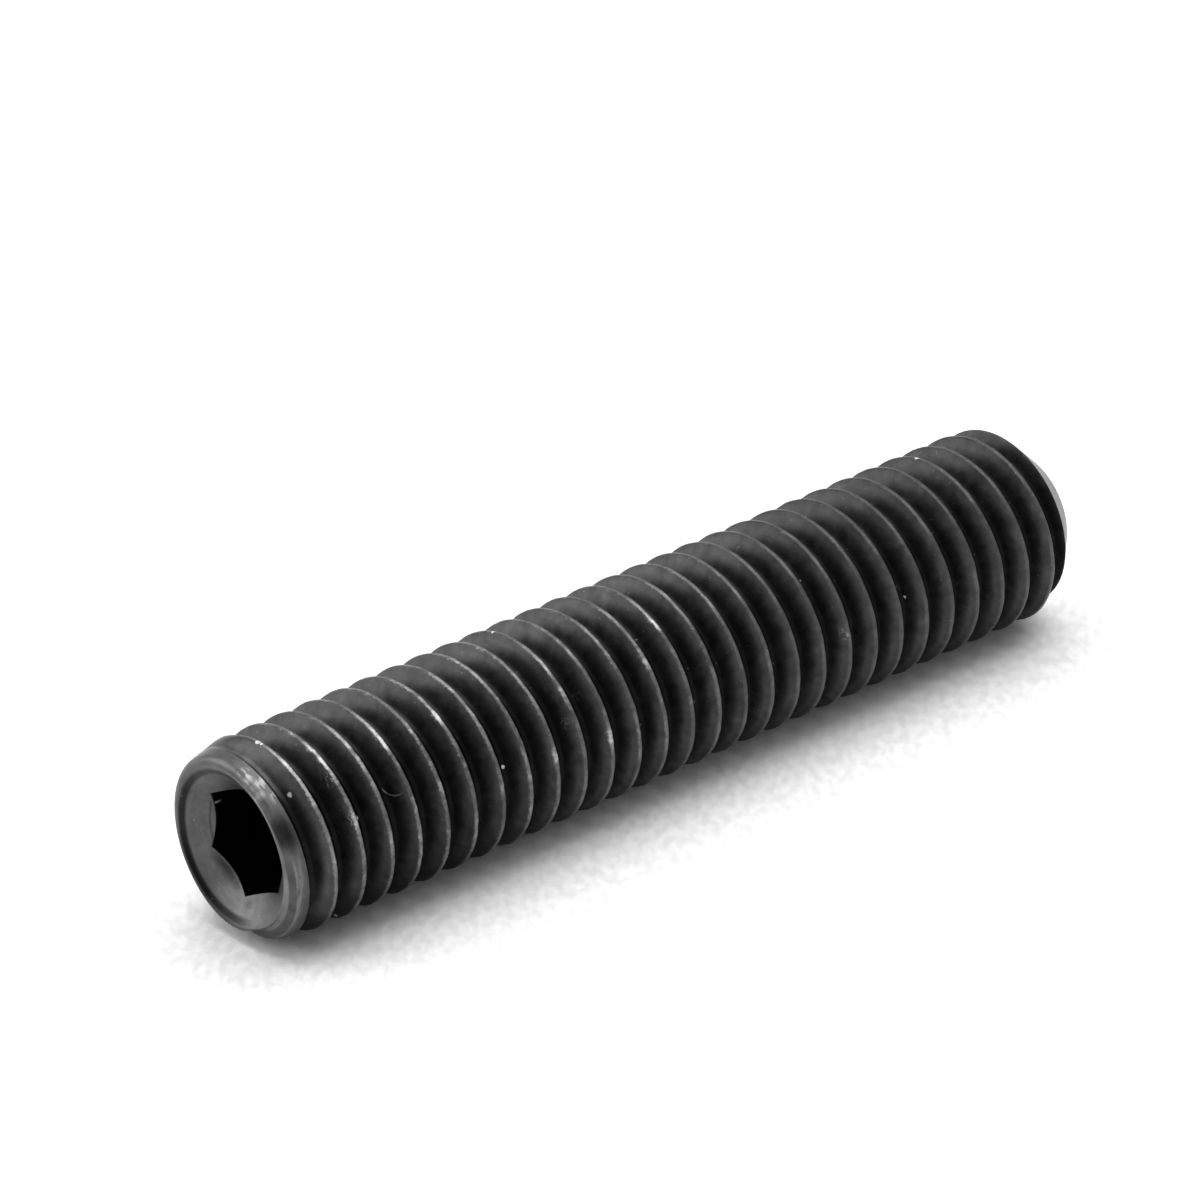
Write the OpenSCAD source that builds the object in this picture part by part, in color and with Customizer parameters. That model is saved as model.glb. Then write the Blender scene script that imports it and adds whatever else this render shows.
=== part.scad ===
// Adjusting screw: a headless screw with a hexagon socket, threaded over its whole length.
// It lies along X with its socket towards -X, and touches the ground plane with its thread crests.

/* [Thread] */
// Major diameter, over the thread crests
thread_d = 6; // [5.6:0.1:8]
// Advance of the right-hand thread in one turn
thread_pitch = 1; // [0.8:0.05:1.25]
// Angle between the two flanks of the groove
flank_angle = 60; // [50:1:70]
// Width of the flat left along the thread crest
crest_flat = 0.13; // [0.08:0.01:0.2]
// Width of the flat along the bottom of the groove
root_flat = 0.17; // [0.1:0.01:0.25]
// Distance from the socket end to the crest's first full pass over the top
first_crest = 1.17; // [0.7:0.01:1.7]

/* [Thread start] */
// Share of the groove's depth that is left just behind the rim
shallow_share = 0.25; // [0.1:0.05:1]
// Distance from the socket end to where the groove starts to get shallow
rim_groove = 0.2; // [0.1:0.01:0.3]
// Distance from the socket end to the start of the shallow stretch
shallow_from = 0.4; // [0.35:0.01:0.48]
// Distance from the socket end to the end of the shallow stretch
shallow_to = 0.55; // [0.5:0.01:0.65]
// Distance from the socket end to where the groove is at its full depth
full_from = 0.82; // [0.75:0.01:1]

/* [Body] */
// Overall length
screw_length = 30; // [10:1:60]
// Depth of the point's flat face below the thread crests
point_drop = 1.1; // [0.7:0.05:1.5]
// Angle of the point's chamfer from the axis
point_angle = 45; // [30:1:60]

/* [Socket rim] */
// Depth of the rim's ridge below the thread crests
rim_drop = 0.475; // [0.3:0.005:0.6]
// Radius that rounds the rim's ridge
rim_round = 0.24; // [0.1:0.01:0.27]
// Angle of the lead-in taper from the axis
lead_angle = 14; // [8:1:30]
// Included angle of the countersink inside the rim
countersink_angle = 108; // [90:1:130]

/* [Socket] */
// Width of the hexagon across its flats
socket_af = 3.08; // [2.5:0.01:3.3]
// Depth of the hexagon's flats below the rim
socket_depth = 3.5; // [2:0.1:5]
// Turn of the hexagon's corners about the axis
socket_turn = 4.8; // [0:0.1:60]
// Included angle of the drill point under the hexagon
drill_angle = 120; // [90:1:140]

/* [Hidden] */

// Smoothness of the drawn curves, of the rim's rounding and of one turn of the groove
$fn = 96;
rim_steps = 6;
groove_steps = 24;

// How far the groove runs past each end of the body
groove_overrun = 1;

// Thread section
thread_r = thread_d / 2;
flank_slope = tan(flank_angle / 2);
groove_depth = (thread_pitch - crest_flat - root_flat) / 2 / flank_slope;
root_r = thread_r - groove_depth;

// The cutter stands proud of the crests, by half of what would make its turns meet
mouth_r = thread_r + crest_flat / 4 / flank_slope;
mouth_w = root_flat + 2 * (mouth_r - root_r) * flank_slope;
groove_section = [
  [root_r, -root_flat / 2],
  [mouth_r, -mouth_w / 2],
  [mouth_r, mouth_w / 2],
  [root_r, root_flat / 2]
];

// Helix of the groove, from a whole number of turns before the first crest
groove_start = first_crest - thread_pitch * ceil((first_crest + groove_overrun) / thread_pitch);
groove_turns = (screw_length + groove_overrun - groove_start) / thread_pitch;
groove_rings = ceil(groove_turns * groove_steps);

// Share of the groove's depth against distance from the socket end
groove_share = [
  [rim_groove, 1],
  [shallow_from, shallow_share],
  [shallow_to, shallow_share],
  [full_from, 1]
];

// Rim: an arc from the countersink, over the ridge, to the lead-in taper
sink_half = countersink_angle / 2;
rim_r = thread_r - rim_drop;
rim_sweep = 180 - sink_half - lead_angle;
function rim_point(angle) = [rim_r + rim_round * cos(angle), rim_round + rim_round * sin(angle)];
rim_arc = [for (i = [0:rim_steps]) rim_point(180 + sink_half + rim_sweep * i / rim_steps)];
sink_edge = rim_arc[0];
sink_apex = sink_edge.y + sink_edge.x / tan(sink_half);
lead_edge = rim_arc[rim_steps];
lead_end = lead_edge.y + (thread_r - lead_edge.x) / tan(lead_angle);

// Point
point_r = thread_r - point_drop;
point_start = screw_length - point_drop / tan(point_angle);

// Socket
socket_corner_r = socket_af / 2 / cos(30);
drill_depth = socket_af / 2 / tan(drill_angle / 2);

// Radius against distance from the socket end
blank_outline = concat(
  [[0, sink_apex]],
  rim_arc,
  [
    [thread_r, lead_end],
    [thread_r, point_start],
    [point_r, screw_length],
    [0, screw_length]
  ]
);

// The body before it is threaded, with its rim, countersink and point
module blank() {
  rotate_extrude()
    polygon(blank_outline);
}

// One cross-section of the groove, a given number of steps along its helix
function groove_ring(step) =
  let (
    angle = 360 * step / groove_steps,
    along = groove_start + thread_pitch * step / groove_steps,
    share = lookup(along, groove_share)
  )
  [
    for (p = groove_section)
      let (r = thread_r - (thread_r - p.x) * share)
      [r * cos(angle), r * sin(angle), along + p.y]
  ];

// The space between the thread's turns, as one long helical bar
module groove() {
  sides = len(groove_section);
  last = groove_rings * sides;
  walls = [
    for (step = [0:groove_rings - 1], side = [0:sides - 1])
      let (a = step * sides + side, b = step * sides + (side + 1) % sides)
      each [[a, b, a + sides], [b, b + sides, a + sides]]
  ];
  near_end = [for (side = [sides - 1:-1:0]) side];
  far_end = [for (side = [0:sides - 1]) last + side];
  polyhedron(
    points = [for (step = [0:groove_rings]) each groove_ring(step)],
    faces = concat([near_end], walls, [far_end])
  );
}

// The hexagon for the key, with the drill point below it
module socket() {
  rotate(socket_turn)
    cylinder(r = socket_corner_r, h = socket_depth, $fn = 6);
  translate([0, 0, socket_depth])
    cylinder(r1 = socket_af / 2, r2 = 0, h = drill_depth);
}

// The whole screw, blackened steel
module screw() {
  color("#28292b")
    translate([-screw_length / 2, 0, thread_r])
      rotate([0, 90, 0])
        difference() {
          blank();
          groove();
          socket();
        }
}

screw();
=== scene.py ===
import math

import bmesh
import bpy
from bpy.props import FloatProperty, FloatVectorProperty, IntProperty, PointerProperty
from mathutils import Matrix, Vector, noise


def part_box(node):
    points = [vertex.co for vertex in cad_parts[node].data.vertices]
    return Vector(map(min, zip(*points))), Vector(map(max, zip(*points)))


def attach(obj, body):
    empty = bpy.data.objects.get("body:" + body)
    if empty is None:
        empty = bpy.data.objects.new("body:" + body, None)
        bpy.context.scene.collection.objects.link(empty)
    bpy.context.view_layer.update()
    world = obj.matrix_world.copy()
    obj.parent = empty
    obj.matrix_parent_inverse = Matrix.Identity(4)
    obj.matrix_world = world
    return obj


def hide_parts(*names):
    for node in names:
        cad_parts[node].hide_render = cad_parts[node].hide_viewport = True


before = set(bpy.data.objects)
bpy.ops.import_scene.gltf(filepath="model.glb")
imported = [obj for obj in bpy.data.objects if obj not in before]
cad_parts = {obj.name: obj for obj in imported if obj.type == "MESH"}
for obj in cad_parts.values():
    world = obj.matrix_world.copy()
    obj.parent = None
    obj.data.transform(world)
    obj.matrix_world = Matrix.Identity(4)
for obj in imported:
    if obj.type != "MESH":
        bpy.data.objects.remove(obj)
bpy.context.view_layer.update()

bl_info = {
    "name": "Adjusting Screw",
    "version": (1, 0, 0),
    "blender": (4, 5, 0),
    "location": "3D View > Sidebar > Adjusting Screw",
    "description": "Models and lights a blackened steel adjusting screw",
    "category": "Object",
}

MM = 0.001
SCREW_LOW, SCREW_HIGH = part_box("screw")
AXIS_HEIGHT = (SCREW_LOW.z + SCREW_HIGH.z) / 2
AXIS = Vector((1, 0, 0))
MERGE = 0.001 * MM

# Marks are placed by distance from the socket end and radius in millimetres, and by
# turn from +Y towards +Z in degrees. Their sizes and reaches are in millimetres.

# Chips in the oxide: place and size
CHIPS = (
    ((0.994, 2.605, 129.6), 0.10),
    ((1.171, 2.991, 91.2), 0.10),
    ((1.182, 2.991, 94.0), 0.06),
    ((2.471, 2.879, 241.0), 0.08),
    ((2.798, 2.402, 160.0), 0.08),
    ((7.944, 2.398, 167.6), 0.07),
    ((10.12, 2.980, 78.0), 0.08),
    ((23.044, 2.491, 168.4), 0.055),
    ((26.169, 2.988, 81.3), 0.10),
)

# Places where a crest is rubbed bright: which crest, turn and reach
RUBS = (
    (0, 115, 0.30), (0, 140, 0.25), (1, 111, 0.25), (1, 121, 0.25),
    (1, 158, 0.35), (3, 123, 0.45), (5, 123, 0.25), (8, 169, 0.30),
    (9, 140, 0.35), (10, 172, 0.35), (12, 139, 0.45), (13, 121, 0.40),
)

# Smears of hair-thin scratches: place and reach
SMEARS = (
    ((2.18, 2.85, 131.9), 0.30),
    ((2.33, 2.97, 157.6), 0.28),
    ((10.25, 2.70, 155.1), 0.30),
    ((11.15, 2.50, 141.5), 0.30),
    ((20.28, 2.95, 171.6), 0.30),
)

# A curved scratch: the centre and radius of its curve, and the middle and reach of what shows
SCRATCH_CENTRE, SCRATCH_R = (4.063, 2.747, 147.3), 0.395
SCRATCH_MIDDLE, SCRATCH_REACH = (4.031, 2.559, 154.8), 0.42

# A painted highlight: a bright line down a flat of the hexagon, beside its corner
GLINT = (0.5, 1.626, 23.5)

# Marks on the rim, by distance from the socket end and turn: a scuff, and flakes at its torn edge
SCUFFS = ((0.075, 111), (0.075, 117), (0.075, 123))
BURRS = ((0.17, 106), (0.36, 117), (0.5, 129))

# Painted shade on the rim, in the same way: a dark patch, and a darker stretch low down
SHADED_RIM = (0.24, 150)
LOW_RIM = (0.1, 318)

# Radius of the plain cylinder that the rim's marks are laid out on
SHELL_R = 2.8

# Radii of the painted highlight lines on the rim, and of the dark rings round the rim and the countersink
INNER_LINE_R = 2.46
OUTER_LINE_R = 2.79
DARK_RING_R = 2.27
SINK_RING_R = 1.68

# Painted shade in the countersink beside one flat of the hexagon: the flat's turn, and where the shade
# ends
FLAT_SHADE_TURN = math.radians(304.8)
FLAT_SHADE_END = (0.42, 1.87, 266)


def length(name, description, default):
    """A size in metres."""
    return FloatProperty(
        name=name, description=description, default=default, min=0, precision=6, unit="LENGTH",
    )


def angle(name, description, degrees):
    """An angle, given in degrees and kept in radians."""
    return FloatProperty(
        name=name, description=description, default=math.radians(degrees), subtype="ANGLE",
    )


def colour(name, description, default):
    """A linear colour."""
    return FloatVectorProperty(
        name=name, description=description, default=default, min=0, max=1, subtype="COLOR",
    )


class ScrewSizes(bpy.types.PropertyGroup):
    """The screw's driving sizes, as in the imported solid."""

    diameter: length("Diameter", "Major diameter, over the thread crests", SCREW_HIGH.z - SCREW_LOW.z)
    reach: length("Length", "Overall length", SCREW_HIGH.x - SCREW_LOW.x)
    pitch: length("Pitch", "Advance of the right-hand thread in one turn", 1.0 * MM)
    flank: angle("Flank angle", "Angle between the two flanks of the groove", 60)
    crest_width: length("Crest width", "Width of the crest before its edges are rounded", 0.13 * MM)
    crest_round: length("Crest rounding", "How far the rounding of a crest's edge reaches", 0.04 * MM)
    root_width: length("Root width", "Width of the groove's floor before it is rounded", 0.17 * MM)
    root_round: length("Root rounding", "How far the rounding of the groove's floor reaches", 0.075 * MM)
    first_crest: length(
        "First crest", "From the socket end to the crest's first full pass over the top", 1.17 * MM,
    )
    shallow_share: FloatProperty(
        name="Shallow share", description="Share of the groove's depth at its shallow start",
        default=0.25,
    )
    rim_groove: length(
        "Rim groove", "How far from the socket end the groove is deep across the rim", 0.2 * MM,
    )
    shallow_from: length("Shallow from", "From the socket end to where the shallow start begins", 0.4 * MM)
    shallow_to: length("Shallow to", "From the socket end to where the shallow start ends", 0.55 * MM)
    full_from: length(
        "Full from", "From the socket end to where the groove reaches its full depth", 0.82 * MM,
    )
    ragged: length("Raggedness", "How far the rolled crest wanders", 0.02 * MM)
    rim_drop: length("Rim drop", "Depth of the rim's ridge below the thread crests", 0.475 * MM)
    rim_round: length("Rim rounding", "Radius that rounds the rim's ridge", 0.24 * MM)
    lead: angle("Lead-in angle", "Angle of the lead-in taper from the axis", 14)
    countersink: angle("Countersink angle", "Included angle of the countersink inside the rim", 108)
    socket_width: length("Socket width", "Width of the hexagon across its flats", 3.08 * MM)
    socket_depth: length("Socket depth", "Depth of the hexagon's flats below the rim", 3.5 * MM)
    socket_turn: angle("Socket turn", "Turn of the hexagon's corners about the axis", 34.8)
    drill: angle("Drill angle", "Included angle of the drill point under the hexagon", 120)
    point_drop: length("Point drop", "Depth of the point's flat face below the thread crests", 1.1 * MM)
    point: angle("Point angle", "Angle of the point's chamfer from the axis", 45)
    turn_steps: IntProperty(
        name="Steps in a turn", description="Smoothness of the thread", default=96, min=24,
    )
    round_steps: IntProperty(
        name="Steps round the ends", description="Smoothness of the ends", default=192, min=24,
    )


class ScrewFinish(bpy.types.PropertyGroup):
    """Colours of the blackened steel."""

    oxide: colour("Oxide", "Black oxide on the flanks", (0.054, 0.054, 0.055))
    # The steel colour also paints the highlight lines on the rim
    steel: colour("Steel", "Bare steel where the oxide is worn", (0.28, 0.28, 0.275))
    # The speck colour also paints the glint in the socket
    speck: colour("Speck", "Pale specks in chips and of dust", (0.78, 0.78, 0.77))


class StageSettings(bpy.types.PropertyGroup):
    """Camera, lamps and floor."""

    aim: FloatVectorProperty(
        name="Aim", description="Point in the middle of the picture",
        default=(0.018 * MM, 1.837 * MM, 4.725 * MM), precision=6, unit="LENGTH",
    )
    azimuth: angle("Azimuth", "Turn of the camera about the vertical", -38.227)
    elevation: angle("Elevation", "Camera's height above the horizon", 27.245)
    roll: angle("Roll", "Turn of the camera about its own line of sight", -2.814)
    distance: length("Distance", "From the camera to the aim", 218.2 * MM)
    lens: FloatProperty(
        name="Lens", description="Focal length on a 36 mm sensor", default=224.9, unit="CAMERA",
    )
    floor: colour("Floor", "Pale floor", (0.94, 0.94, 0.94))
    grain: colour("Grain", "Darker fibres of the floor", (0.72, 0.72, 0.72))
    floor_lift: colour(
        "Floor lift", "What the floor adds to its colour where it is seen", (0.40, 0.40, 0.40),
    )
    key_power: FloatProperty(
        name="Key", description="Power of the large lamp", default=1.4, unit="POWER",
    )
    fill_power: FloatProperty(
        name="Fill", description="Power of the lamp on the socket's side", default=1.0, unit="POWER",
    )
    ambient: FloatProperty(name="Ambient", description="Strength of the room's own light", default=0.26)


class Wire:
    """An output of a shader node that takes part in Python arithmetic."""

    def __init__(self, graph, socket):
        self.graph = graph
        self.socket = socket

    def calculate(self, operation, *values):
        return self.graph.node("ShaderNodeMath", {"operation": operation}, dict(enumerate(values)))

    def __add__(self, other):
        return self.calculate("ADD", self, other)

    def __radd__(self, other):
        return self.calculate("ADD", other, self)

    def __sub__(self, other):
        return self.calculate("SUBTRACT", self, other)

    def __rsub__(self, other):
        return self.calculate("SUBTRACT", other, self)

    def __mul__(self, other):
        return self.calculate("MULTIPLY", self, other)

    def __rmul__(self, other):
        return self.calculate("MULTIPLY", other, self)

    def __truediv__(self, other):
        return self.calculate("DIVIDE", self, other)

    def __pow__(self, other):
        return self.calculate("POWER", self, other)

    def __neg__(self):
        return self.calculate("MULTIPLY", self, -1)

    def __abs__(self):
        return self.calculate("ABSOLUTE", self)


class Graph:
    """The node tree of a material or of the world."""

    def __init__(self, owner):
        owner.use_nodes = True
        self.tree = owner.node_tree
        self.tree.nodes.clear()

    def node(self, kind, settings=None, inputs=None, output=0):
        """Adds a node, sets it up, feeds its inputs and returns one of its outputs."""
        made = self.tree.nodes.new(kind)
        for name, value in (settings or {}).items():
            setattr(made, name, value)
        for name, value in (inputs or {}).items():
            if isinstance(value, Wire):
                self.tree.links.new(value.socket, made.inputs[name])
            else:
                made.inputs[name].default_value = value
        return Wire(self, made.outputs[output]) if made.outputs else None

    def spot(self):
        """The place on the piece, in millimetres."""
        place = self.node("ShaderNodeTexCoord", output="Object")
        return self.scaled(place, 1 / MM)

    def scaled(self, vector, factor):
        """A vector or a colour, times a number."""
        inputs = {"Vector": vector, "Scale": factor}
        return self.node("ShaderNodeVectorMath", {"operation": "SCALE"}, inputs)

    def rise(self, value, start, end):
        """Goes smoothly from 0 at start to 1 at end."""
        inputs = {"Value": value, "From Min": start, "From Max": end}
        return self.node("ShaderNodeMapRange", {"interpolation_type": "SMOOTHSTEP"}, inputs)

    def fall(self, value, start, end):
        """Goes smoothly from 1 at start to 0 at end."""
        return 1 - self.rise(value, start, end)

    def band(self, value, middle, core, reach):
        """1 in a core round a value, falling to 0 at its reach."""
        return self.fall(abs(value - middle), core, reach)

    def cloud(self, place, scale, detail=2):
        """Soft noise between 0 and 1."""
        inputs = {"Vector": place, "Scale": scale, "Detail": detail}
        return self.node("ShaderNodeTexNoise", None, inputs)

    def gap(self, place, centre):
        """Distance from a point."""
        inputs = {0: place, 1: centre}
        return self.node("ShaderNodeVectorMath", {"operation": "DISTANCE"}, inputs, output=1)

    def near(self, place, centre, reach, core=0.0):
        """1 in a core round a point, falling to 0 at its reach."""
        return self.fall(self.gap(place, centre), core, reach)

    def most(self, first, *others):
        """The largest of some values."""
        for other in others:
            first = first.calculate("MAXIMUM", first, other)
        return first

    def capped(self, value):
        """Holds a value to 1 at most."""
        return value.calculate("MINIMUM", value, 1)

    def blend(self, share, first, second):
        """Mixes two colours."""
        inputs = {0: share, 6: first, 7: second}
        return self.node("ShaderNodeMix", {"data_type": "RGBA"}, inputs, output=2)


def opaque(tint):
    """A colour with its alpha, as a shader socket takes it."""
    return (*tint, 1.0)


def new_object(name, bm):
    """Turns a bmesh into an object in the scene."""
    mesh = bpy.data.meshes.new(name)
    bm.to_mesh(mesh)
    bm.free()
    made = bpy.data.objects.new(name, mesh)
    bpy.context.scene.collection.objects.link(made)
    return made


def everything(bm):
    """All vertices, edges and faces of a bmesh."""
    return bm.verts[:] + bm.edges[:] + bm.faces[:]


def add_line(bm, points):
    """Joins points, given as distance along the axis and radius, into one open line."""
    verts = [bm.verts.new((x, r, 0)) for x, r in points]
    for pair in zip(verts, verts[1:]):
        bm.edges.new(pair)
    return verts


def close_up(bm):
    """Merges what meets and turns every face outwards."""
    bmesh.ops.remove_doubles(bm, verts=bm.verts, dist=MERGE)
    bmesh.ops.recalc_face_normals(bm, faces=bm.faces)


def groove_depth(sizes):
    """Depth of the thread's groove."""
    return (sizes.pitch - sizes.crest_width - sizes.root_width) / 2 / math.tan(sizes.flank / 2)


def thread_profile(bm, sizes):
    """One pitch of the thread's outline, from groove floor over crest to groove floor."""
    crest_r = sizes.diameter / 2
    root_r = crest_r - groove_depth(sizes)
    half_crest, half_root, half_pitch = sizes.crest_width / 2, sizes.root_width / 2, sizes.pitch / 2
    middle = sizes.first_crest - sizes.pitch / 4
    rising = [(-half_pitch, root_r), (half_root - half_pitch, root_r), (-half_crest, crest_r)]
    falling = [(-x, r) for x, r in reversed(rising)]
    verts = add_line(bm, [(middle + x, r) for x, r in rising + falling])
    bmesh.ops.bevel(
        bm, geom=verts[2:4], affect="VERTICES", offset=sizes.crest_round,
        segments=4, profile=0.5, material=-1,
    )
    floor_corners = [v for v in bm.verts if abs(v.co.y - root_r) < 1e-9 and len(v.link_edges) == 2]
    bmesh.ops.bevel(
        bm, geom=floor_corners, affect="VERTICES", offset=sizes.root_round,
        segments=4, profile=0.5, material=-1,
    )
    flanks = [e for e in bm.edges if e.calc_length() > groove_depth(sizes) / 2]
    bmesh.ops.subdivide_edges(bm, edges=flanks, cuts=5)


def smooth_step(value, start, end):
    """Goes smoothly from 0 at start to 1 at end."""
    share = min(1.0, max(0.0, (value - start) / (end - start)))
    return share * share * (3 - 2 * share)


def run_out(bm, sizes):
    """Makes the groove shallow between the rim and the first full crest."""
    crest_r = sizes.diameter / 2
    for vert in bm.verts:
        if vert.co.x > sizes.full_from + sizes.pitch / 2:
            continue
        turn = math.atan2(vert.co.z, vert.co.y) / math.tau
        pitches = (vert.co.x - sizes.first_crest) / sizes.pitch - turn + 0.25
        middle = vert.co.x - (pitches % 1 - 0.5) * sizes.pitch
        dip = smooth_step(middle, sizes.rim_groove, sizes.shallow_from)
        dip *= 1 - smooth_step(middle, sizes.shallow_to, sizes.full_from)
        share = 1 - dip * (1 - sizes.shallow_share)
        radius = vert.co.yz.length
        vert.co.yz *= (crest_r - (crest_r - radius) * share) / radius


def roughen(bm, sizes):
    """Lets the rolled crest wander a little, always inwards."""
    crest_r = sizes.diameter / 2
    band = 0.12 * MM
    long_wave, short_wave, dip_wave = 0.35 * MM, 0.14 * MM, 0.2 * MM
    for vert in bm.verts:
        radius = vert.co.yz.length
        near_crest = max(0.0, 1 - (crest_r - radius) / band)
        if near_crest:
            shift = near_crest * sizes.ragged
            wave = noise.noise(vert.co / long_wave) + 0.6 * noise.noise(vert.co / short_wave)
            vert.co.x += shift * wave
            vert.co.yz *= 1 - shift * (0.5 + 0.5 * noise.noise(vert.co / dip_wave + AXIS)) / radius


def threaded_bar(sizes):
    """A bar threaded like the screw, cut off square past both of its ends."""
    spare = 2
    turns = round(sizes.reach / sizes.pitch) + 2 * spare
    bm = bmesh.new()
    thread_profile(bm, sizes)
    bmesh.ops.spin(
        bm, geom=bm.verts[:] + bm.edges[:], cent=(0, 0, 0), axis=AXIS,
        dvec=AXIS * (sizes.pitch / sizes.turn_steps), angle=math.tau, steps=sizes.turn_steps,
    )
    bmesh.ops.translate(bm, verts=bm.verts, vec=-AXIS * (spare + 1) * sizes.pitch)
    one_turn = everything(bm)
    for turn in range(1, turns + 1):
        copy = bmesh.ops.duplicate(bm, geom=one_turn)["geom"]
        verts = [part for part in copy if isinstance(part, bmesh.types.BMVert)]
        bmesh.ops.translate(bm, verts=verts, vec=AXIS * turn * sizes.pitch)
    bmesh.ops.remove_doubles(bm, verts=bm.verts, dist=MERGE)
    run_out(bm, sizes)
    roughen(bm, sizes)
    for end, way in ((-sizes.pitch, -AXIS), (sizes.reach + sizes.pitch, AXIS)):
        bmesh.ops.bisect_plane(
            bm, geom=everything(bm), dist=1e-9, plane_co=AXIS * end, plane_no=way, clear_outer=True,
        )
        rim = [e for e in bm.edges if e.is_boundary and all(abs(v.co.x - end) < 1e-6 for v in e.verts)]
        bmesh.ops.holes_fill(bm, edges=rim, sides=0)
    close_up(bm)
    return new_object("threaded_bar", bm)


def rim_outline(sizes, steps=14):
    """The rim from the countersink, over its ridge, to the lead-in taper."""
    sink = math.pi + sizes.countersink / 2
    sweep = math.pi - sizes.countersink / 2 - sizes.lead
    ridge_r = sizes.diameter / 2 - sizes.rim_drop
    ways = [sink + sweep * step / steps for step in range(steps + 1)]
    return [
        (sizes.rim_round * (1 + math.sin(way)), ridge_r + sizes.rim_round * math.cos(way))
        for way in ways
    ]


def blank(sizes):
    """The screw's ends: rim, countersink, lead-in taper and point, on a body wider than its thread."""
    clear = 0.3 * MM
    wide_r = sizes.diameter / 2 + clear
    rim = rim_outline(sizes)
    apex = (rim[0][0] + rim[0][1] / math.tan(sizes.countersink / 2), 0)
    taper_end = (rim[-1][0] + (wide_r - rim[-1][1]) / math.tan(sizes.lead), wide_r)
    point_r = sizes.diameter / 2 - sizes.point_drop
    point_start = (sizes.reach - (wide_r - point_r) / math.tan(sizes.point), wide_r)
    bm = bmesh.new()
    add_line(bm, [apex, *rim, taper_end, point_start, (sizes.reach, point_r), (sizes.reach, 0)])
    bmesh.ops.spin(
        bm, geom=bm.verts[:] + bm.edges[:], cent=(0, 0, 0), axis=AXIS,
        angle=math.tau, steps=sizes.round_steps, use_merge=True,
    )
    close_up(bm)
    return new_object("blank", bm)


def key_cutter(sizes, name, segments, radius, tip, start, end):
    """A prism or a cone along the axis, turned as the socket is."""
    bm = bmesh.new()
    bmesh.ops.create_cone(
        bm, cap_ends=True, segments=segments, depth=end - start, radius1=radius, radius2=tip,
    )
    turn = Matrix.Rotation(sizes.socket_turn, 4, "X") @ Matrix.Rotation(math.pi / 2, 4, "Y")
    bmesh.ops.transform(bm, matrix=turn, verts=bm.verts)
    bmesh.ops.translate(bm, verts=bm.verts, vec=AXIS * (start + end) / 2)
    close_up(bm)
    return new_object(name, bm)


def key_hole(sizes):
    """What the hexagon key and its drill take out of the screw."""
    clear, overlap = 0.5 * MM, 0.001 * MM
    flat = sizes.socket_width / 2
    corner = flat / math.cos(math.pi / 6)
    floor = sizes.socket_depth - overlap
    tip = floor + flat / math.tan(sizes.drill / 2)
    hexagon = key_cutter(sizes, "hexagon", 6, corner, corner, -clear, sizes.socket_depth)
    drill_point = key_cutter(sizes, "drill_point", sizes.round_steps, flat, 0, floor, tip)
    return hexagon, drill_point


def carve(bar, steps):
    """Cuts a bar with other shapes, which are used up."""
    for operation, tool in steps:
        cut = bar.modifiers.new(tool.name, "BOOLEAN")
        cut.operation = operation
        cut.solver = "MANIFOLD"
        cut.object = tool
    evaluated = bar.evaluated_get(bpy.context.evaluated_depsgraph_get())
    bm = bmesh.new()
    bm.from_mesh(evaluated.to_mesh())
    evaluated.to_mesh_clear()
    for used in (bar, *(tool for _, tool in steps)):
        bpy.data.meshes.remove(used.data)
    return bm


def on_screw(along, radius, degrees):
    """A mark's place on the piece, in millimetres."""
    turn = math.radians(degrees)
    return SCREW_LOW.x / MM + along, radius * math.cos(turn), AXIS_HEIGHT / MM + radius * math.sin(turn)


def on_shell(along, degrees):
    """A mark's place when the screw's outside is laid on a plain cylinder."""
    turn = math.radians(degrees)
    return along, SHELL_R * math.cos(turn), SHELL_R * math.sin(turn)


class Skin:
    """Where a point of the screw's surface lies, in millimetres, and the noise that its marks share."""

    def __init__(self, graph):
        self.graph = graph
        self.spot = graph.spot()
        x, self.y, self.z = (
            graph.node("ShaderNodeSeparateXYZ", None, {0: self.spot}, output=way) for way in range(3)
        )
        self.along = x - SCREW_LOW.x / MM
        self.up = self.z - AXIS_HEIGHT / MM
        self.radius = (self.y * self.y + self.up * self.up) ** 0.5
        self.rim = graph.fall(self.along, 0.3, 0.6)
        self.shell = self.wrapped(1, SHELL_R)
        self.patches = graph.rise(graph.cloud(self.spot, 0.9, detail=3), 0.38, 0.62)
        self.grit = graph.rise(graph.cloud(self.spot, 7, detail=4), 0.35, 0.65)
        self.smudges = graph.cloud(self.spot, 3.5, detail=4)
        self.nicks = self.lathe_marks(10, 6, 14)
        self.streaks = 0.5 * self.lathe_marks(8, 0.9, 8) + 0.5 * self.nicks

    def wrapped(self, lengthwise, around):
        """Coordinates that run along the screw and round it at given rates, whatever the radius."""
        inputs = {
            0: self.along * lengthwise,
            1: self.y / self.radius * around,
            2: self.up / self.radius * around,
        }
        return self.graph.node("ShaderNodeCombineXYZ", None, inputs)

    def lathe_marks(self, lengthwise, around, outwards):
        """Noise drawn out round the axis, as a lathe leaves it."""
        inputs = {
            "Vector": self.wrapped(lengthwise, around), "W": self.radius * outwards,
            "Scale": 1, "Detail": 4,
        }
        return self.graph.node("ShaderNodeTexNoise", {"noise_dimensions": "4D"}, inputs)

    def in_socket(self, sizes):
        """1 below the countersink, on the walls and the floor of the socket."""
        sink_end, sink_r = (value / MM for value in rim_outline(sizes)[0])
        sunk_to = sink_end + (sink_r - self.radius) / math.tan(sizes.countersink / 2)
        deep = self.graph.rise(self.along - sunk_to, 0.01, 0.06)
        return deep * self.graph.fall(self.radius, 1.8, 1.9) * self.graph.fall(self.along, 8, 9)


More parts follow.
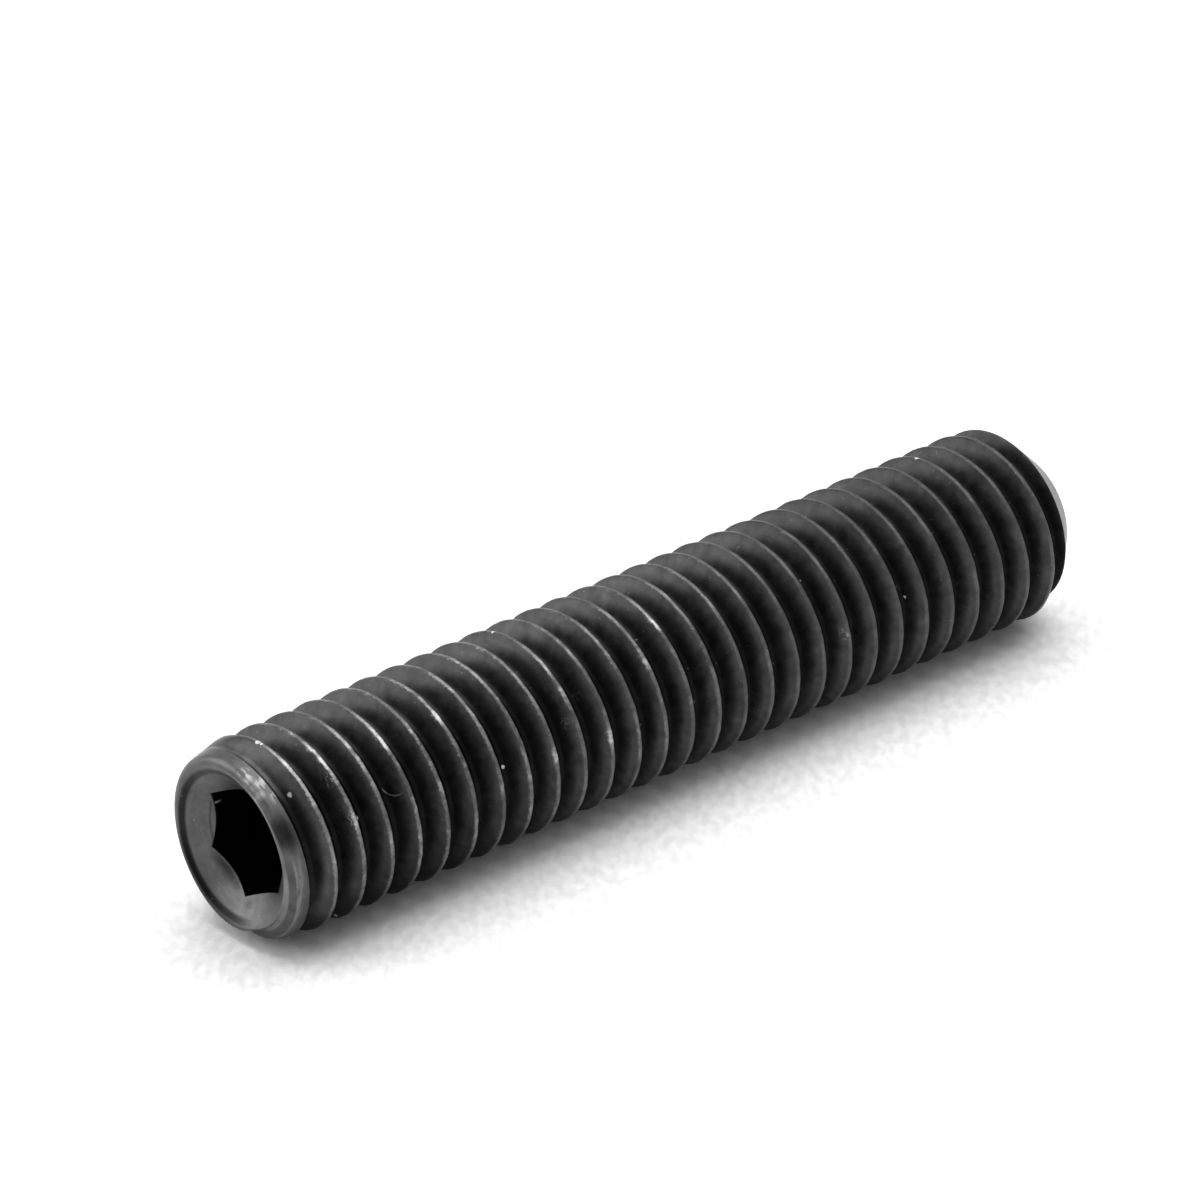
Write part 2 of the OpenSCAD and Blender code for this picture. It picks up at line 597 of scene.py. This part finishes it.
def crest_marks(skin, sizes):
    """Bare steel along the crests, and pale flakes where they are rubbed hardest."""
    graph, spot, along, radius = skin.graph, skin.spot, skin.along, skin.radius
    crest_r, pitch, first_crest = sizes.diameter / 2 / MM, sizes.pitch / MM, sizes.first_crest / MM
    turn = skin.up.calculate("ARCTAN2", skin.up, skin.y) / math.tau
    pitches = (along - first_crest) / pitch - turn + 0.25
    from_crest = abs(pitches.calculate("FRACT", pitches + 0.5) - 0.5) * pitch
    fray = 0.12 * (graph.cloud(spot, 13, detail=3) - 0.5)
    knots = graph.rise(graph.cloud(spot, 2.6, detail=3), 0.52, 0.64)
    begun = graph.rise(along, first_crest - 0.03, first_crest + 0.01)
    nearby = 1 - 0.85 * graph.rise(along, 4, 22)
    rubs = 0
    for crest, degrees, reach in RUBS:
        place = first_crest + (crest + degrees / 360 - 0.25) * pitch
        rubs = rubs + graph.near(spot, on_screw(place, crest_r, degrees), reach, reach / 3)
    top = graph.fall(from_crest + fray, 0.03, 0.09) * graph.rise(radius, crest_r - 0.09, crest_r - 0.02)
    worn = nearby * (0.2 + 0.45 * skin.patches + 0.45 * knots) + 0.7 * rubs
    worn = worn * top * begun * (0.55 + 0.45 * skin.grit)
    wide_top = graph.fall(from_crest + 1.5 * fray, 0.05, 0.12)
    wide_top = wide_top * graph.rise(radius, crest_r - 0.14, crest_r - 0.06)
    flakes = rubs * skin.grit * wide_top * begun
    return worn, flakes


def painted_rim_highlights(skin):
    """Painted highlights: bright lines on the rim's -Y side, along its ridge and along its outer edge."""
    graph, radius = skin.graph, skin.radius
    side = skin.rim * graph.fall(skin.y, -1.6, -0.8)
    inner = graph.band(radius, INNER_LINE_R, 0.05, 0.11) * (0.4 + 0.6 * skin.patches)
    outer = graph.band(radius, OUTER_LINE_R, 0.015, 0.05) * graph.rise(skin.streaks, 0.38, 0.55)
    outer = outer * graph.fall(skin.up, 0.3, 0.9)
    return side * (0.5 * inner + 0.4 * outer)


def rim_scuff(skin):
    """A bright scuff on the top of the rim, and flakes along its torn outer edge."""
    graph, radius = skin.graph, skin.radius
    scuff = graph.most(*(graph.near(skin.shell, on_shell(*place), 0.24) for place in SCUFFS))
    scuff = scuff * skin.rim * graph.rise(radius, 2.4, 2.5) * graph.rise(skin.streaks, 0.4, 0.58)
    burrs = sum(graph.near(skin.shell, on_shell(*place), 0.3, 0.08) for place in BURRS)
    teeth = graph.rise(graph.cloud(skin.wrapped(14, 8), 1, detail=3), 0.46, 0.6)
    burrs = burrs * teeth * graph.rise(radius, 2.6, 2.7)
    return scuff, burrs


def worn_edges(skin, rounded):
    """Bare steel on the sharp edges of the socket's end."""
    graph = skin.graph
    flat = graph.node("ShaderNodeNewGeometry", output="Normal")
    bend = graph.node(
        "ShaderNodeVectorMath", {"operation": "DOT_PRODUCT"}, {0: rounded, 1: flat}, output=1,
    )
    return graph.rise(1 - bend, 0.01, 0.12) * graph.fall(skin.along, 0.9, 1.3) * skin.grit


def pale_marks(skin, inside):
    """Small chips, dust, smears, one curved scratch, and a painted glint in the socket."""
    graph, spot = skin.graph, skin.spot
    half, jag = (0.5, 0.5, 0.5), (0.1, 0.1, 0.1)
    jitter = graph.node(
        "ShaderNodeTexNoise", None, {"Vector": spot, "Scale": 10, "Detail": 2}, output="Color",
    )
    jitter = graph.node("ShaderNodeVectorMath", {"operation": "SUBTRACT"}, {0: jitter, 1: half})
    torn = graph.node(
        "ShaderNodeVectorMath", {"operation": "MULTIPLY_ADD"}, {0: jitter, 1: jag, 2: spot},
    )
    chips = sum(graph.near(torn, on_screw(*place), size, size / 2) for place, size in CHIPS)
    dust = graph.rise(graph.cloud(spot, 9, detail=2), 0.7, 0.78)
    smears = sum(graph.near(spot, on_screw(*place), reach, reach / 3) for place, reach in SMEARS)
    smears = smears * graph.band(graph.cloud(spot, 5, detail=3), 0.5, 0.01, 0.04)
    scratch = graph.band(graph.gap(spot, on_screw(*SCRATCH_CENTRE)), SCRATCH_R, 0.008, 0.03)
    scratch = scratch * graph.near(spot, on_screw(*SCRATCH_MIDDLE), SCRATCH_REACH)
    # A painted glint: a pale line down one flat of the socket
    level = graph.node("ShaderNodeCombineXYZ", None, {0: on_screw(*GLINT)[0], 1: skin.y, 2: skin.z})
    glint = graph.near(level, on_screw(*GLINT), 0.06, 0.02) * inside * graph.fall(skin.along, 0.7, 0.95)
    return chips + 0.7 * glint + 0.1 * dust + 0.38 * scratch + 0.2 * smears


def painted_thread_shading(skin, sizes):
    """Painted shade and light on the thread, as a factor on the oxide's colour. It is 1 on the ends of the
    screw.
    """
    graph, along, up, radius = skin.graph, skin.along, skin.up, skin.radius
    crest_r = sizes.diameter / 2 / MM
    root_r = crest_r - groove_depth(sizes) / MM
    beyond = graph.rise(along, 6, 11)
    above, below = graph.rise(up, 1.9, 2.7), graph.rise(-up, -0.3, 1.2)
    # Painted shade: darker towards the groove's floor
    tone = 0.13 + 0.5 * graph.rise(radius, root_r + 0.01, root_r + 0.09)
    tone = tone + 0.35 * graph.rise(radius, root_r + 0.1, root_r + 0.4)
    # Painted shade just under the crest
    tone = tone * (1 - 0.2 * graph.rise(radius, crest_r - 0.2, crest_r - 0.05))
    # Painted reflection of the floor: a paler upper flank further along, most of all underneath
    tone = tone * (1 + beyond * (0.25 + 0.6 * below) * graph.rise(radius, 2.68, 2.85))
    # Painted shade on top, further along
    tone = tone * (1 - 0.4 * graph.rise(along, 12, 24) * graph.rise(up, 2.2, 2.8))
    # Painted shade underneath, near the socket
    tone = tone * (1 - 0.5 * (1 - beyond) * graph.rise(-up, 1.5, 2.2))
    # Painted light on top: less groove shade there, most of all near the socket, and the top a little
    # darker overall
    tone = (1 - (1 - tone) * (1 - (0.7 - 0.3 * beyond) * above)) * (1 - 0.15 * above)
    point_r = crest_r - sizes.point_drop / MM
    to_point = along - sizes.reach / MM + (radius - point_r) / math.tan(sizes.point)
    threaded = graph.rise(along, 0.5, 0.7) * graph.rise(radius, 2.0, 2.3)
    threaded = threaded * graph.fall(to_point, -0.08, -0.02)
    return 1 - (1 - tone) * threaded


def rim_tone_and_painted_shade(skin, inside):
    """Painted shade on the rim, in the countersink and in the socket, with a dark ring, a dark line by the
    socket's edge and the rim's lathe marks.
    """
    graph, y, up, radius, rim = skin.graph, skin.y, skin.up, skin.radius, skin.rim
    # Painted shade: a dark patch on the rim, and a darker stretch low down on it
    shaded = graph.near(skin.shell, on_shell(*SHADED_RIM), 0.75, 0.2)
    shaded = shaded * rim * graph.rise(radius, 2.5, 2.62)
    low = graph.near(skin.shell, on_shell(*LOW_RIM), 2.2, 0.6)
    low = low * rim * graph.rise(radius, 2.25, 2.4)
    # A dark ring on the countersink near the rim, a little off the axis, on the +Y side
    off_centre = radius - 0.1 * (y * 0.87 - up * 0.5) / radius
    dark_ring = graph.band(off_centre, DARK_RING_R, 0.04, 0.14) * graph.fall(skin.along, 0.2, 0.4)
    dark_ring = dark_ring * graph.rise(y, -0.9, 0.2)
    sink_ring = graph.band(radius, SINK_RING_R, 0.015, 0.04) * (1 - inside) * graph.rise(y, 1.45, 1.6)
    # Painted shade in the countersink beside one flat of the hexagon
    from_flat = math.cos(FLAT_SHADE_TURN) * y + math.sin(FLAT_SHADE_TURN) * up
    along_flat = math.cos(FLAT_SHADE_TURN) * up - math.sin(FLAT_SHADE_TURN) * y
    flat_shade = graph.rise(from_flat, 1.545, 1.6) * graph.fall(from_flat, 1.65, 1.85) * (1 - inside)
    flat_shade = flat_shade * graph.band(along_flat, 0, 0.35, 0.85) * graph.fall(skin.along, 0.8, 0.9)
    flat_shade = graph.most(flat_shade, 0.8 * graph.near(skin.spot, on_screw(*FLAT_SHADE_END), 0.3))
    # The socket's walls and floor are darkened as painted shade
    tone = (1 - 0.8 * dark_ring) * (1 - 0.85 * inside) * (1 - 0.4 * sink_ring) * (1 - 0.48 * flat_shade)
    return tone * (1 - 0.75 * shaded) * (1 - 0.6 * low) * (1 + 0.9 * rim * (skin.streaks - 0.42))


def oxide_tone(skin):
    """Blotches in the oxide, and a paler tone at the socket's end and over the first turn."""
    graph, rim = skin.graph, skin.rim
    blotches = graph.cloud(skin.spot, 1.7, detail=5)
    sunk = rim * graph.fall(skin.radius, 2.3, 2.45)
    first = graph.fall(skin.along, 1.2, 2.0)
    tone = (0.5 + blotches) * (1 + (skin.smudges - 0.5) * (1 - 0.6 * rim))
    return tone * (1 + 0.35 * rim + 0.22 * sunk) * (1 + 0.4 * first * (1 - rim))


def black_oxide(finish, sizes):
    """Blackened steel, rubbed bright along its thread and on the rim of its socket, with painted shade and
    painted highlights.
    """
    material = bpy.data.materials.new("black_oxide")
    graph = Graph(material)
    skin = Skin(graph)
    inside = skin.in_socket(sizes)
    rounded = graph.node("ShaderNodeBevel", {"samples": 4}, {"Radius": 0.035 * MM})
    worn, flakes = crest_marks(skin, sizes)
    scuff, burrs = rim_scuff(skin)

    # Oxide with painted shade, then bare steel where it is worn through and painted highlights on the rim,
    # then pale specks and a painted glint
    tone = oxide_tone(skin) * painted_thread_shading(skin, sizes) * rim_tone_and_painted_shade(skin, inside)
    tint = graph.scaled(finish.oxide[:], tone)
    bright = worn + 0.75 * scuff + 0.5 * burrs + painted_rim_highlights(skin) + 0.35 * worn_edges(skin, rounded)
    tint = graph.blend(graph.capped(bright), tint, opaque(finish.steel))
    specks = graph.capped(pale_marks(skin, inside) + 0.07 * burrs + 0.28 * flakes)
    tint = graph.blend(specks, tint, opaque(finish.speck))

    # Fine grain of the blackened surface
    grain = graph.cloud(skin.spot, 22, detail=3) + 2.5 * skin.rim * skin.nicks
    dents = graph.node(
        "ShaderNodeBump", None,
        {"Strength": 0.35, "Distance": 0.006 * MM, "Height": grain, "Normal": rounded},
    )
    shader = graph.node(
        "ShaderNodeBsdfPrincipled", None,
        {
            "Base Color": tint, "Metallic": 1 - specks, "Normal": dents,
            "Roughness": 0.36 + 0.2 * (skin.smudges - 0.5),
        },
    )
    graph.node("ShaderNodeOutputMaterial", None, {"Surface": shader})
    return material


class SCREW_OT_make(bpy.types.Operator):
    """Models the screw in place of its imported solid"""

    bl_idname = "adjusting_screw.make_screw"
    bl_label = "Make Screw"

    def execute(self, context):
        sizes = context.scene.screw_sizes
        hexagon, drill_point = key_hole(sizes)
        steps = [("INTERSECT", blank(sizes)), ("DIFFERENCE", hexagon), ("DIFFERENCE", drill_point)]
        bm = carve(threaded_bar(sizes), steps)
        if not bm.faces:
            raise RuntimeError("the screw came out of its cuts with no faces")
        bmesh.ops.translate(bm, verts=bm.verts, vec=(SCREW_LOW.x, 0, AXIS_HEIGHT))
        screw = new_object("black_screw", bm)
        screw.data.shade_smooth()
        screw.data.set_sharp_from_angle(angle=math.radians(28))
        screw.data.materials.clear()
        screw.data.materials.append(black_oxide(context.scene.screw_finish, sizes))
        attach(screw, "root")
        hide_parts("screw")
        return {"FINISHED"}


def add_lamp(name, power, size, place):
    """A square soft lamp that faces the screw."""
    lamp = bpy.data.lights.new(name, "AREA")
    lamp.energy = power
    lamp.size = size
    made = bpy.data.objects.new(name, lamp)
    made.location = place
    made.rotation_euler = (-made.location).to_track_quat("-Z", "Y").to_euler()
    bpy.context.scene.collection.objects.link(made)


def add_camera(stage):
    """The camera, at the angle that shows the socket and the thread's whole length."""
    turn, lift = stage.azimuth, stage.elevation
    back = Vector((math.sin(turn) * math.cos(lift), -math.cos(turn) * math.cos(lift), math.sin(lift)))
    made = bpy.data.objects.new("camera", bpy.data.cameras.new("camera"))
    made.data.lens = stage.lens
    made.data.clip_start = stage.distance / 20
    made.location = Vector(stage.aim) + back * stage.distance
    level = (-back).to_track_quat("-Z", "Y").to_matrix()
    made.rotation_euler = (level @ Matrix.Rotation(stage.roll, 3, "Z")).to_euler()
    bpy.context.scene.collection.objects.link(made)
    bpy.context.scene.camera = made


def seen_white(graph):
    """1 for the rays that see the background: from the camera, off metal or through glass."""
    rays = ("Is Camera Ray", "Is Glossy Ray", "Is Transmission Ray")
    return graph.most(*(graph.node("ShaderNodeLightPath", output=ray) for ray in rays))


def add_floor(stage):
    """The pale floor, with its grain."""
    bm = bmesh.new()
    bmesh.ops.create_grid(bm, x_segments=1, y_segments=1, size=1.0)
    floor = new_object("floor", bm)
    material = bpy.data.materials.new("pale_floor")
    graph = Graph(material)
    across = graph.node(
        "ShaderNodeMapping", {"vector_type": "TEXTURE"},
        {"Vector": graph.spot(), "Rotation": (0, 0, stage.azimuth), "Scale": (1, 2.2, 1)},
    )
    fibres = graph.rise(graph.cloud(across, 4, detail=4), 0.3, 0.7)
    plain, grain, lift = (
        graph.node("ShaderNodeBsdfDiffuse", None, {"Color": opaque(tint)})
        for tint in (stage.floor, stage.grain, stage.floor_lift)
    )
    shader = graph.node("ShaderNodeMixShader", None, {0: fibres, 1: plain, 2: grain})
    lifted = graph.node("ShaderNodeAddShader", None, {0: shader, 1: lift})
    shader = graph.node("ShaderNodeMixShader", None, {0: seen_white(graph), 1: shader, 2: lifted})
    graph.node("ShaderNodeOutputMaterial", None, {"Surface": shader})
    floor.data.materials.append(material)


def light_room(stage):
    """A white room that gives the floor and the screw a soft, even light."""
    world = bpy.data.worlds.new("white_room")
    bpy.context.scene.world = world
    graph = Graph(world)
    soft, white = (
        graph.node("ShaderNodeBackground", None, {"Color": opaque((1, 1, 1)), "Strength": strength})
        for strength in (stage.ambient, 1.0)
    )
    room = graph.node("ShaderNodeMixShader", None, {0: seen_white(graph), 1: soft, 2: white})
    graph.node("ShaderNodeOutputWorld", None, {"Surface": room})


class SCREW_OT_stage(bpy.types.Operator):
    """Sets up the camera, the lamps and the floor"""

    bl_idname = "adjusting_screw.make_stage"
    bl_label = "Make Stage"

    def execute(self, context):
        stage = context.scene.screw_stage
        context.scene.view_settings.view_transform = "Standard"
        add_camera(stage)
        add_floor(stage)
        light_room(stage)
        add_lamp("key_lamp", stage.key_power, 0.45, (0.08, 0.03, 0.36))
        add_lamp("fill_lamp", stage.fill_power, 0.40, (-0.30, 0.33, 0.20))
        return {"FINISHED"}


class SCREW_PT_panel(bpy.types.Panel):
    """Sizes, colours and steps of the adjusting screw"""

    bl_idname = "SCREW_PT_panel"
    bl_label = "Adjusting Screw"
    bl_space_type = "VIEW_3D"
    bl_region_type = "UI"
    bl_category = "Adjusting Screw"

    def draw(self, context):
        layout = self.layout
        for group in (context.scene.screw_sizes, context.scene.screw_finish, context.scene.screw_stage):
            box = layout.box()
            for name in group.__annotations__:
                box.prop(group, name)
        for step in (SCREW_OT_stage, SCREW_OT_make):
            layout.operator(step.bl_idname)


CLASSES = (ScrewSizes, ScrewFinish, StageSettings, SCREW_OT_stage, SCREW_OT_make, SCREW_PT_panel)


def register():
    for item in CLASSES:
        bpy.utils.register_class(item)
    bpy.types.Scene.screw_sizes = PointerProperty(type=ScrewSizes)
    bpy.types.Scene.screw_finish = PointerProperty(type=ScrewFinish)
    bpy.types.Scene.screw_stage = PointerProperty(type=StageSettings)


def unregister():
    del bpy.types.Scene.screw_stage
    del bpy.types.Scene.screw_finish
    del bpy.types.Scene.screw_sizes
    for item in reversed(CLASSES):
        bpy.utils.unregister_class(item)


def main():
    register()
    bpy.ops.adjusting_screw.make_stage()
    bpy.ops.adjusting_screw.make_screw()


if __name__ == "__main__":
    main()
